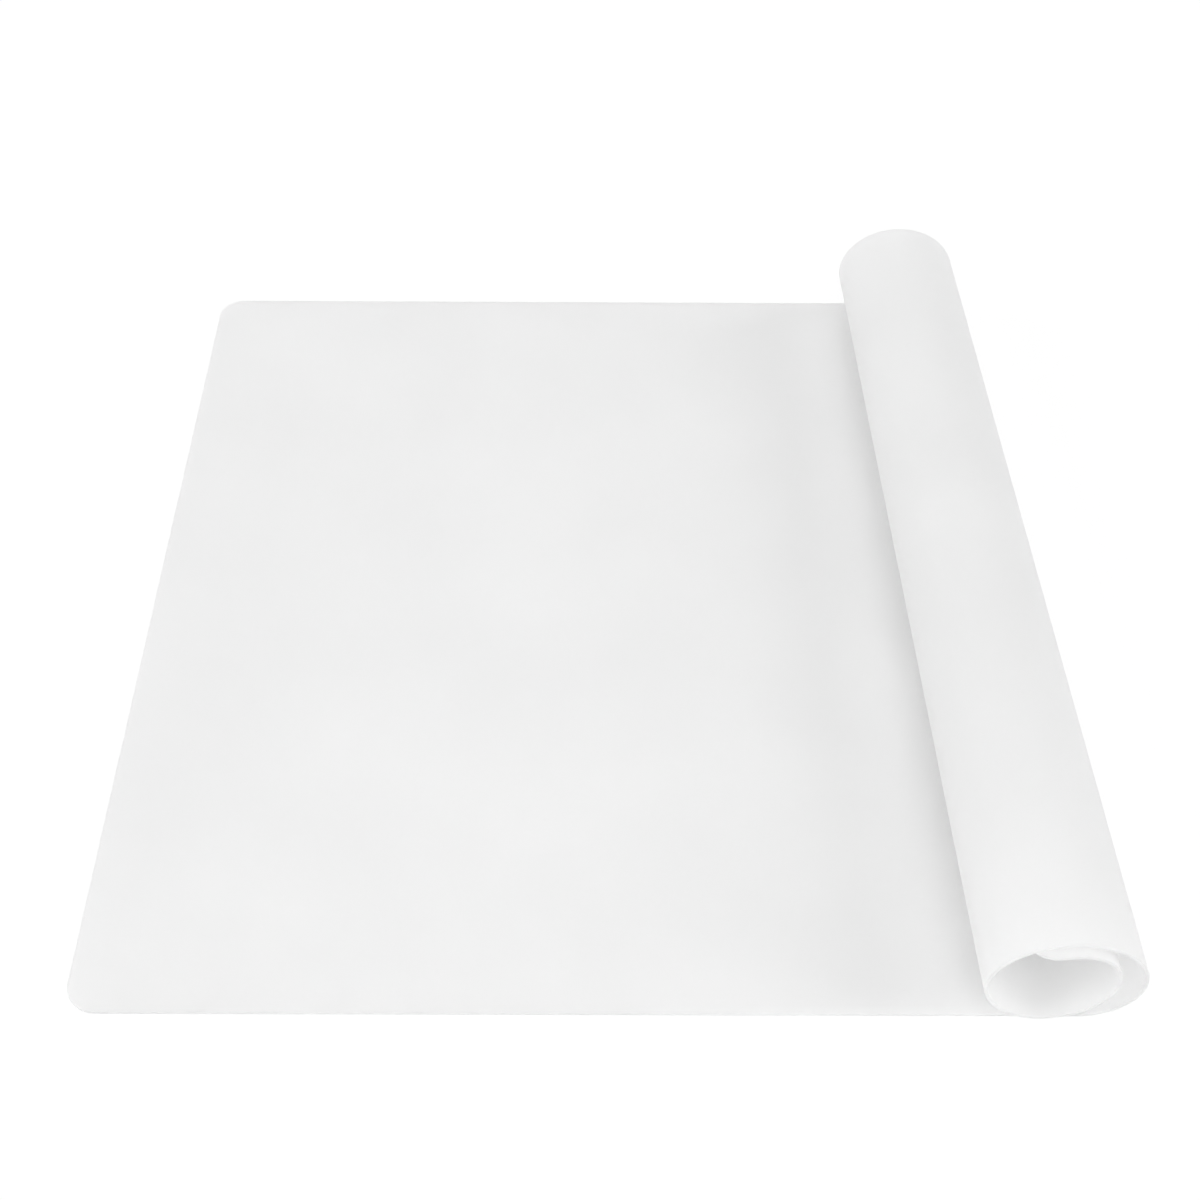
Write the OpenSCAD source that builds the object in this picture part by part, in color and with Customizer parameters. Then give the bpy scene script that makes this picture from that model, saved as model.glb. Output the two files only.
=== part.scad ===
// Silicone counter mat, one moulded sheet lying flat with its right end rolled up.
// The sheet bends, so the rolled end is cut along its bending lines into narrow
// strips. Each strip hinges on the one before it along the sheet's underside.
// Origin: middle of the flat part, on the surface that the mat rests on.
// X runs from the plain end to the roll, Y along the roll, Z is up.

/* [Sheet] */
// Whole length of the mat, laid flat, along its middle
mat_l = 640; // [560:5:720]
// Width of the mat, along the roll
mat_w = 450; // [360:5:540]
// Thickness of the silicone
mat_t = 1.5; // [1:0.1:2.4]
// Radius of the four corners
corner_r = 13; // [6:0.5:24]

/* [Roll] */
// Bend radius of the underside in an average stretch of the roll
roll_r = 26; // [20:0.5:32]
// Air between the second turn and the flat part under it
layer_gap = 0.5; // [0.4:0.1:1.5]
// Angle between the roll's axis and the mat's short edge, in degrees
roll_skew = 0.7; // [0:0.1:1.5]
// Length of the last strip, up to the free edge, along the middle
free_edge_l = 13.4; // [11:0.1:16]

/* [Hidden] */
// Turn of the sheet within one strip, in degrees, and how many strips the roll has
strip_turn = 15;
strip_count = 38;

// Places along the roll where its bend changes, as the sheet's heading in degrees:
// 0 runs right along the counter, 90 up the right side, 180 back over the top,
// 270 down the left side. Past 360 it is the inner turn, which ends at the free edge.
bend_headings = [0, 60, 165, 265, 345, 435, 515, 570];
// Bend radius at each of those places, as a share of roll_r
bend_shares = [0.94, 0.80, 1.34, 0.86, 1.00, 0.93, 0.64, 1.50];

// Slit between two strips, so that they never rub
slit = 0.02;
// Overrun of a cutting shape past what it cuts
cut_over = 2;

// Bend radius of the table at a heading, eased between its places
function eased(u) = (1 - cos(180 * u)) / 2;
function stop_before(h, i = 0) =
    i >= len(bend_headings) - 2 || h <= bend_headings[i + 1] ? i : stop_before(h, i + 1);
function share_between(h, i) =
    bend_shares[i] + (bend_shares[i + 1] - bend_shares[i])
    * eased((h - bend_headings[i]) / (bend_headings[i + 1] - bend_headings[i]));
function table_r(h) = roll_r * share_between(h, stop_before(h));

// Sum of a list from its start up to item n
function sum_to(list, n) = n <= 0 ? 0 : list[n - 1] + sum_to(list, n - 1);

// Heading at the middle of each strip, and the chord of its arc for a radius of 1
mid_heading = [for (i = [0 : strip_count - 1]) (i + 0.5) * strip_turn];
unit_chord = 2 * sin(strip_turn / 2);

// The first full turn climbs by turn_climb with the table's radii alone. A part
// that follows the sine of the heading lifts it to just above the flat part.
turn_strips = round(360 / strip_turn);
climbs = [for (i = [0 : turn_strips - 1]) table_r(mid_heading[i]) * unit_chord * sin(mid_heading[i])];
turn_climb = sum_to(climbs, turn_strips);
lift_r = (mat_t + layer_gap - turn_climb) / (turn_strips * unit_chord / 2);
strip_r = [for (h = mid_heading) table_r(h) + lift_r * sin(h)];

// Arc length of each strip on the underside, and the length where each one starts
strip_l = [for (r = strip_r) r * strip_turn * PI / 180];
start_l = [for (i = [0 : strip_count]) sum_to(strip_l, i)];

// Places of the hinge lines, in the upright plane across the roll, from the first one
steps_x = [for (i = [0 : strip_count - 1]) strip_r[i] * unit_chord * cos(mid_heading[i])];
steps_z = [for (i = [0 : strip_count - 1]) strip_r[i] * unit_chord * sin(mid_heading[i])];
hinge_x = [for (i = [0 : strip_count - 1]) sum_to(steps_x, i)];
hinge_z = [for (i = [0 : strip_count - 1]) sum_to(steps_z, i)];

// Length that is rolled up, and the flat length that is left, both along the middle
rolled_l = start_l[strip_count - 1] + free_edge_l;
flat_l = mat_l - rolled_l / cos(roll_skew);
// The last strip is made long enough for the free edge to cut it everywhere
skew_reach = mat_w / 2 * sin(roll_skew) + cut_over;
last_turn = (free_edge_l + skew_reach) / strip_r[strip_count - 1] * 180 / PI;

function strip_name(i) = str("roll_strip_", i < 10 ? "0" : "", i);

silicone = [0.93, 0.93, 0.93];

// Outline of the whole mat laid flat, seen from above
module mat_outline() {
    translate([-flat_l / 2 + corner_r, -mat_w / 2])
        square([mat_l - 2 * corner_r, mat_w]);
    translate([-flat_l / 2, -mat_w / 2 + corner_r])
        square([mat_l, mat_w - 2 * corner_r]);
    for (x = [-flat_l / 2 + corner_r, mat_l - flat_l / 2 - corner_r])
        for (y = [-mat_w / 2 + corner_r, mat_w / 2 - corner_r])
            translate([x, y]) circle(corner_r, $fn = 96);
}

// The frame of the roll: its origin is the first hinge line, on the mat's middle
module at_roll() {
    translate([flat_l / 2, 0, 0]) rotate([0, 0, roll_skew]) children();
}

// The flat part, up to the first hinge line
module flat_sheet() {
    color(silicone)
        intersection() {
            linear_extrude(mat_t) mat_outline();
            at_roll()
                translate([-2 * mat_l - slit / 2, -mat_w, -cut_over])
                    cube([2 * mat_l, 2 * mat_w, mat_t + 2 * cut_over]);
        }
}

// Strip i of the roll, from 0: an arc of the sheet, trimmed to the mat's outline
module roll_strip(i) {
    turn = i == strip_count - 1 ? last_turn : strip_turn;
    color(silicone)
        at_roll()
            translate([hinge_x[i], 0, hinge_z[i]])
                rotate([0, -i * strip_turn, 0])
                    intersection() {
                        strip_arc(strip_r[i], turn);
                        strip_trim(strip_r[i], turn, start_l[i]);
                    }
}

// An arc of sheet that heads along X from the origin and bends upwards. Half a slit
// is left free at each of its ends.
module strip_arc(r, turn) {
    half_slit_turn = slit / 2 / r * 180 / PI;
    translate([0, mat_w, r])
        rotate([90, 0, 0])
            rotate([0, 0, half_slit_turn - 90])
                rotate_extrude(angle = turn - 2 * half_slit_turn, $fn = 360)
                    translate([r - mat_t, 0])
                        square([mat_t, 2 * mat_w]);
}

// The mat's outline laid on the middle of such an arc, as a block through the sheet
module strip_trim(r, turn, start) {
    to_middle = r * turn / 2 * PI / 180;
    translate([r * sin(turn / 2), 0, r * (1 - cos(turn / 2))])
        rotate([0, -turn / 2, 0])
            translate([-start - to_middle, 0, -cut_over])
                rotate([0, 0, -roll_skew])
                    translate([-flat_l / 2, 0, 0])
                        linear_extrude(mat_t + 2 * cut_over)
                            mat_outline();
}

flat_sheet();
for (i = [1 : strip_count])
    roll_strip(i - 1);
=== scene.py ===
"""Silicone counter mat: one moulded sheet, flat on the left and rolled up on the right.

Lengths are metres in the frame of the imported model: X runs from the plain end to the
roll, Y along the roll, Z up, with the origin in the middle of the flat part's underside.
The mat is modelled flat, as it leaves its mould. It is cut across where one bending body
hands over to the next, and each stretch is then wound by a Curve modifier.
"""
import math

import bpy
from mathutils import Matrix, Vector


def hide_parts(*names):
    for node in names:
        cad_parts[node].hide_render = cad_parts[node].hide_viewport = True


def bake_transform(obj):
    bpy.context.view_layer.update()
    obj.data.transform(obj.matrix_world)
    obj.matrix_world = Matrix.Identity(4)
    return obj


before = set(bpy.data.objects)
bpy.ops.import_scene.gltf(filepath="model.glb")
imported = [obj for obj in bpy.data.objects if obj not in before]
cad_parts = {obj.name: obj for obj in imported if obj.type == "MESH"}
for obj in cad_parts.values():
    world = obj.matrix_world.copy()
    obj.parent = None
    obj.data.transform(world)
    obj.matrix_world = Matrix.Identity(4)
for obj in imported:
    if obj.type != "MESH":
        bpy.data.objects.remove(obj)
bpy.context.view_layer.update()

# The sheet: its size laid flat, its corners, and the rounding of its rim
mat_l, mat_w, mat_t = 0.640, 0.450, 0.0015
corner_r, corner_steps = 0.013, 24
rim_r, rim_steps = 0.0003, 2

# The winding, with the same figures as the part's source
roll_r = 0.026
layer_gap = 0.0005
roll_skew = math.radians(0.7)
free_edge_l = 0.0134
strip_turn = math.radians(15)
strip_count = 38
bend_headings = [0, 60, 165, 265, 345, 435, 515, 570]
bend_shares = [0.94, 0.80, 1.34, 0.86, 1.00, 0.93, 0.64, 1.50]

# How finely the winding is cut: this many steps in each strip
strip_steps = 30
# Straight stretch of the winding line ahead of the first bend, and a cut just before it
run_in = 0.45
last_straight_cut = 0.0005
# Faces that meet at less than this are shaded as one smooth surface
smooth_angle = math.radians(15)

# The silicone: how light its surface is, and the share of it that lets light through
silicone_tone, lightest_tone = 0.99, 0.999
through_share = 0.64

# The floor lies this far under the mat, and this much of its light is the plain white
# that a camera sees. The rest shows the mat's shadow.
floor_size, floor_drop = 8, 0.0001
floor_white = 0.88


# ---------------------------------------------------------------- the winding


def table_r(heading):
    """Bend radius of the underside at a heading in degrees, eased between its places."""
    i = 0
    while i < len(bend_headings) - 2 and heading > bend_headings[i + 1]:
        i += 1
    along = (heading - bend_headings[i]) / (bend_headings[i + 1] - bend_headings[i])
    eased = (1 - math.cos(math.pi * along)) / 2
    return roll_r * (bend_shares[i] + (bend_shares[i + 1] - bend_shares[i]) * eased)


def winding():
    """Radius of each strip, and the length, place and heading at which it starts."""
    middles = [(i + 0.5) * strip_turn for i in range(strip_count)]
    chord = 2 * math.sin(strip_turn / 2)
    first_turn = round(2 * math.pi / strip_turn)
    climb = sum(table_r(math.degrees(h)) * chord * math.sin(h) for h in middles[:first_turn])
    lift = (mat_t + layer_gap - climb) / (first_turn * chord / 2)
    strips, length, x, z = [], 0.0, 0.0, 0.0
    for i, middle in enumerate(middles):
        r = table_r(math.degrees(middle)) + lift * math.sin(middle)
        strips.append((r, length, x, z, i * strip_turn))
        length += r * strip_turn
        x += r * chord * math.cos(middle)
        z += r * chord * math.sin(middle)
    return strips


strips = winding()
rolled_l = strips[-1][1] + free_edge_l
flat_l = mat_l - rolled_l / math.cos(roll_skew)

# Between the part's frame and the winding's, whose X starts at the winding line's start
to_winding = (
    Matrix.Translation((run_in, 0, 0))
    @ Matrix.Rotation(-roll_skew, 4, "Z")
    @ Matrix.Translation((-flat_l / 2, 0, 0))
)
from_winding = Matrix.Translation((flat_l / 2, 0, 0)) @ Matrix.Rotation(roll_skew, 4, "Z")


def underside(length):
    """Place of the underside in the winding's plane, at a length past the first bend."""
    if length <= 0:
        return length, 0.0
    r, start, x, z, heading = [s for s in strips if s[1] <= length][-1]
    end = heading + (length - start) / r
    return (
        x + r * (math.sin(end) - math.sin(heading)),
        z + r * (math.cos(heading) - math.cos(end)),
    )


def strip_middle(i):
    """Length at the middle of strip i, counted from 1. For 0 it is as far before the first bend."""
    if i == 0:
        return -strips[0][0] * strip_turn / 2
    r, start = strips[i - 1][:2]
    return start + r * strip_turn / 2


# ---------------------------------------------------------------- the sheet, modelled flat


def nothing_selected():
    bpy.ops.object.select_all(action="DESELECT")


def edit_edges(piece, wanted):
    """Opens the piece in edit mode with only the edges selected whose two ends pass."""
    bpy.context.tool_settings.mesh_select_mode = (False, True, False)
    mesh = piece.data
    for group in (mesh.vertices, mesh.edges, mesh.polygons):
        group.foreach_set("select", [False] * len(group))
    for edge in mesh.edges:
        a, b = (mesh.vertices[v].co for v in edge.vertices)
        edge.select = wanted(a, b)
    bpy.context.view_layer.objects.active = piece
    bpy.ops.object.mode_set(mode="EDIT")


def model_flat_mat():
    """The whole mat laid flat: a thin slab, its corners rounded and its rim softened."""
    nothing_selected()
    bpy.ops.mesh.primitive_cube_add(
        size=1,
        location=((mat_l - flat_l) / 2, 0, mat_t / 2),
        scale=(mat_l, mat_w, mat_t),
    )
    bpy.ops.object.transform_apply(location=True, rotation=True, scale=True)
    mat = bpy.context.object
    mat.name = "flat_mat"
    edit_edges(mat, lambda a, b: abs(a.z - b.z) > mat_t / 2)
    bpy.ops.mesh.bevel(offset=corner_r, segments=corner_steps, affect="EDGES")
    bpy.ops.object.mode_set(mode="OBJECT")
    edit_edges(mat, lambda a, b: abs(a.z - b.z) < mat_t / 4)
    bpy.ops.mesh.bevel(offset=rim_r, segments=rim_steps, affect="EDGES")
    bpy.ops.object.mode_set(mode="OBJECT")
    # The UV map holds the place on the flat mat, in metres from its plain end and near side
    place = mat.data.uv_layers.active
    for loop in mat.data.loops:
        co = mat.data.vertices[loop.vertex_index].co
        place.data[loop.index].uv = (co.x + flat_l / 2, co.y + mat_w / 2)
    mat.data.transform(to_winding)
    return mat


def winding_line():
    """The curve that the underside follows, and the lengths of its points."""
    lengths = [-run_in, -last_straight_cut]
    for r, start, *_ in strips:
        lengths += [start + r * strip_turn * n / strip_steps for n in range(strip_steps)]
    # The last strip carries on past its middle, up to the free edge and a little beyond
    r, start = strips[-1][:2]
    beyond = range(strip_steps, 2 * strip_steps)
    lengths += [start + r * strip_turn * n / strip_steps for n in beyond]
    data = bpy.data.curves.new("winding_line", "CURVE")
    data.dimensions = "3D"
    data.twist_mode = "MINIMUM"
    line = data.splines.new("POLY")
    line.points.add(len(lengths) - 1)
    for point, length in zip(line.points, lengths):
        x, z = underside(length)
        point.co = (x, 0, z, 1)
    curve = bpy.data.objects.new("winding_line", data)
    bpy.context.scene.collection.objects.link(curve)
    return curve, lengths


def cut_across(length, **options):
    bpy.ops.mesh.select_all(action="SELECT")
    bpy.ops.mesh.bisect(plane_co=(run_in + length, 0, 0), plane_no=(1, 0, 0), **options)


def wind_stretch(flat_mat, curve, lengths, name, start, end):
    """One stretch of the mat between two lengths, cut out of the flat mat and wound."""
    piece = flat_mat.copy()
    piece.data = flat_mat.data.copy()
    piece.name = piece.data.name = name
    bpy.context.scene.collection.objects.link(piece)
    nothing_selected()
    piece.select_set(True)
    bpy.context.view_layer.objects.active = piece
    bpy.ops.object.mode_set(mode="EDIT")
    if start is not None:
        cut_across(start, clear_inner=True, use_fill=True)
    if end is not None:
        cut_across(end, clear_outer=True, use_fill=True)
    hair = 1e-6
    for length in lengths[1:]:
        after_start = start is None or length > start + hair
        before_end = end is None or length < end - hair
        if after_start and before_end:
            cut_across(length)
    bpy.ops.mesh.select_all(action="SELECT")
    bpy.ops.mesh.normals_make_consistent(inside=False)
    bpy.ops.object.mode_set(mode="OBJECT")
    bend = piece.modifiers.new("wind", "CURVE")
    bend.object = curve
    bend.deform_axis = "POS_X"
    bpy.ops.object.modifier_apply(modifier=bend.name)
    piece.data.transform(from_winding)
    bpy.ops.object.shade_smooth_by_angle(angle=smooth_angle)
    return piece


# ---------------------------------------------------------------- the silicone's finish


def silicone_finish():
    """Milky silicone: a frosted face that sends over half of the light on through the sheet."""
    material = bpy.data.materials.new("silicone")
    material.use_nodes = True
    nodes, links = material.node_tree.nodes, material.node_tree.links
    shader = nodes["Principled BSDF"]
    shader.inputs["Specular IOR Level"].default_value = 0.3

    def add(kind, **settings):
        node = nodes.new(kind)
        for key, value in settings.items():
            setattr(node, key, value)
        return node

    def noise(scale, detail):
        node = add("ShaderNodeTexNoise", noise_dimensions="2D")
        node.inputs["Scale"].default_value = scale
        node.inputs["Detail"].default_value = detail
        links.new(place.outputs["UV"], node.inputs["Vector"])
        return node.outputs["Fac"]

    def spread(value, from_min, from_max, to_min, to_max):
        """The value, moved from one range to another and kept within it."""
        node = add("ShaderNodeMapRange", clamp=True)
        node.inputs["From Min"].default_value = from_min
        node.inputs["From Max"].default_value = from_max
        node.inputs["To Min"].default_value = to_min
        node.inputs["To Max"].default_value = to_max
        links.new(value, node.inputs["Value"])
        return node.outputs["Result"]

    def work(operation, a, b):
        node = add("ShaderNodeMath", operation=operation)
        for socket, value in zip(node.inputs, (a, b)):
            if isinstance(value, (int, float)):
                socket.default_value = value
            else:
                links.new(value, socket)
        return node.outputs["Value"]

    place = add("ShaderNodeTexCoord")
    sides = add("ShaderNodeSeparateXYZ")
    links.new(place.outputs["UV"], sides.inputs["Vector"])
    from_plain_end, from_near_side = sides.outputs["X"], sides.outputs["Y"]

    # Faint clouds of some centimetres, and a fine grain
    milky = spread(noise(14, 3), 0.3, 0.7, -0.004, 0.004)
    grain = spread(noise(900, 2), 0.2, 0.8, -0.003, 0.003)
    # Painted shade: a thin line right at the rim is painted darker on the plain end and far side,
    # less so on the near side
    from_far_side = work("SUBTRACT", mat_w, from_near_side)
    from_shaded_rim = work("MINIMUM", from_plain_end, from_far_side)
    painted_rim_shade = work(
        "ADD",
        spread(from_shaded_rim, 0.0003, 0.0012, -0.03, 0.0),
        spread(from_near_side, 0.0003, 0.0012, -0.014, 0.0),
    )
    # Painted highlight: beside the roll, the strip along the near edge is painted lighter, standing
    # in for light that enters the near edge
    beside_roll = work(
        "MULTIPLY",
        spread(from_plain_end, 0.22, 0.30, 0.0, 1.0),
        spread(from_plain_end, 0.37, 0.40, 1.0, 0.0),
    )
    near_strip = spread(from_near_side, 0.0020, 0.0034, 0.035, 0.0)
    painted_edge_highlight = work("MULTIPLY", near_strip, beside_roll)
    tone = work("ADD", work("ADD", milky, grain), work("ADD", painted_rim_shade, painted_edge_highlight))
    tone = work("MINIMUM", work("ADD", tone, silicone_tone), lightest_tone)
    colour = add("ShaderNodeCombineColor")
    for channel in ("Red", "Green", "Blue"):
        links.new(tone, colour.inputs[channel])

    through = add("ShaderNodeBsdfTranslucent")
    links.new(colour.outputs["Color"], shader.inputs["Base Color"])
    links.new(colour.outputs["Color"], through.inputs["Color"])
    mix = add("ShaderNodeMixShader")
    mix.inputs["Fac"].default_value = through_share
    links.new(shader.outputs["BSDF"], mix.inputs[1])
    links.new(through.outputs["BSDF"], mix.inputs[2])
    links.new(mix.outputs["Shader"], nodes["Material Output"].inputs["Surface"])

    # The frosted face: uneven roughness, and a bump much finer than the sheet's thickness
    links.new(spread(noise(220, 3), 0.25, 0.75, 0.44, 0.54), shader.inputs["Roughness"])
    frost = add("ShaderNodeBump")
    frost.inputs["Strength"].default_value = 0.25
    frost.inputs["Distance"].default_value = 0.00004
    links.new(noise(2600, 2), frost.inputs["Height"])
    for layer in (shader, through):
        links.new(frost.outputs["Normal"], layer.inputs["Normal"])
    return material


# ---------------------------------------------------------------- floor, light and camera


def seen_share(nodes, links, most):
    """most where a ray comes from the camera, a reflection or through glass, else 0.
    Light that the silicone scatters on its way through counts as light, not as a view."""
    path = nodes.new("ShaderNodeLightPath")
    last = path.outputs["Is Camera Ray"]
    for name in ("Is Glossy Ray", "Is Transmission Ray"):
        node = nodes.new("ShaderNodeMath")
        node.operation = "MAXIMUM"
        links.new(last, node.inputs[0])
        links.new(path.outputs[name], node.inputs[1])
        last = node.outputs["Value"]
    plain = nodes.new("ShaderNodeMath")
    plain.operation = "SUBTRACT"
    plain.use_clamp = True
    links.new(last, plain.inputs[0])
    links.new(path.outputs["Is Diffuse Ray"], plain.inputs[1])
    share = nodes.new("ShaderNodeMath")
    share.operation = "MULTIPLY"
    share.inputs[1].default_value = most
    links.new(plain.outputs["Value"], share.inputs[0])
    return share.outputs["Value"]


def lay_floor():
    """A wide pale floor, white to the camera, that still shows the mat's shadow."""
    nothing_selected()
    bpy.ops.mesh.primitive_plane_add(size=floor_size, location=(0, 0, -floor_drop))
    floor = bpy.context.object
    floor.name = "floor"
    material = bpy.data.materials.new("white_floor")
    material.use_nodes = True
    nodes, links = material.node_tree.nodes, material.node_tree.links
    nodes.clear()
    matte = nodes.new("ShaderNodeBsdfDiffuse")
    matte.inputs["Color"].default_value = (0.88, 0.88, 0.88, 1)
    white = nodes.new("ShaderNodeEmission")
    white.inputs["Strength"].default_value = 1.03
    mix = nodes.new("ShaderNodeMixShader")
    out = nodes.new("ShaderNodeOutputMaterial")
    links.new(seen_share(nodes, links, floor_white), mix.inputs[0])
    links.new(matte.outputs[0], mix.inputs[1])
    links.new(white.outputs[0], mix.inputs[2])
    links.new(mix.outputs[0], out.inputs["Surface"])
    floor.data.materials.append(material)


def light_room():
    """A pale room that looks white, and soft boxes round the mat, aimed at its middle."""
    world = bpy.data.worlds.new("white_room")
    bpy.context.scene.world = world
    world.use_nodes = True
    nodes, links = world.node_tree.nodes, world.node_tree.links
    nodes.clear()
    room = nodes.new("ShaderNodeBackground")
    room.inputs["Color"].default_value = (1, 1, 1, 1)
    room.inputs["Strength"].default_value = 0.185
    backdrop = nodes.new("ShaderNodeBackground")
    backdrop.inputs["Color"].default_value = (1, 1, 1, 1)
    mix = nodes.new("ShaderNodeMixShader")
    out = nodes.new("ShaderNodeOutputWorld")
    links.new(seen_share(nodes, links, 1.0), mix.inputs[0])
    links.new(room.outputs[0], mix.inputs[1])
    links.new(backdrop.outputs[0], mix.inputs[2])
    links.new(mix.outputs[0], out.inputs["Surface"])

    # Six soft boxes: azimuth and elevation in degrees, distance, width, height, power
    for name, azimuth, elevation, distance, width, height, power in (
        ("front_box", -90, 45, 1.8, 1.6, 1.4, 8.8),
        ("front_right_box", -55, 45, 1.8, 1.6, 1.4, 4.6),
        ("high_front_box", -85, 62, 1.8, 1.0, 1.0, 3.6),
        ("left_box", 180, 25, 3.5, 3.0, 2.0, 66),
        ("right_box", 0, 25, 3.5, 3.0, 2.0, 49),
        ("back_box", 90, 40, 1.8, 1.6, 1.4, 9.5),
    ):
        soft_box = bpy.data.lights.new(name, "AREA")
        soft_box.shape = "RECTANGLE"
        soft_box.size, soft_box.size_y, soft_box.energy = width, height, power
        lamp = bpy.data.objects.new(name, soft_box)
        across, up = math.radians(azimuth), math.radians(elevation)
        level = math.cos(up)
        way = Vector((level * math.cos(across), level * math.sin(across), math.sin(up)))
        lamp.location = way * distance
        lamp.rotation_euler = way.to_track_quat("Z", "Y").to_euler()
        bpy.context.scene.collection.objects.link(lamp)


def set_camera():
    """The photograph's view, as it was fitted to the mat's outlines."""
    data = bpy.data.cameras.new("photo_view")
    data.sensor_width, data.lens = 36, 51.717
    data.shift_x, data.shift_y = 0.02497, 0.01386
    data.clip_start = 0.02
    camera = bpy.data.objects.new("photo_view", data)
    bpy.context.scene.collection.objects.link(camera)
    camera.matrix_world = (
        Matrix.Translation((-0.001510, -0.565697, 0.582368))
        @ Matrix.Rotation(math.radians(-0.37), 4, "Z")
        @ Matrix.Rotation(math.radians(43.354), 4, "X")
        @ Matrix.Rotation(math.radians(0.476), 4, "Z")
    )
    bpy.context.scene.camera = camera


# ---------------------------------------------------------------- the mat put together

bpy.context.scene.view_settings.view_transform = "Standard"
# Light goes to and fro between the turns of the roll, so its paths are followed for longer
bpy.context.scene.cycles.diffuse_bounces = 12
bpy.context.scene.cycles.transmission_bounces = 24
bpy.context.scene.cycles.max_bounces = 24
set_camera()
light_room()
lay_floor()

silicone = silicone_finish()
flat_mat = model_flat_mat()
curve, lengths = winding_line()
bodies = ["flat_sheet"] + [f"roll_strip_{i:02d}" for i in range(1, strip_count + 1)]

# Piece i runs from the middle of strip i - 1 to the middle of strip i, across the bend between the
# two bodies. The first is the flat part, and the last ends at the free edge.
for i in range(1, strip_count + 1):
    name = "flat_part_of_mat" if i == 1 else f"bend_of_mat_{i:02d}"
    start = None if i == 1 else strip_middle(i - 1)
    end = None if i == strip_count else strip_middle(i)
    piece = wind_stretch(flat_mat, curve, lengths, name, start, end)
    piece.data.materials.clear()
    piece.data.materials.append(silicone)
    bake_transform(piece)
    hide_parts(*(["flat_sheet", "roll_strip_01"] if i == 1 else [bodies[i]]))

for spare in (flat_mat, curve):
    bpy.data.objects.remove(spare)
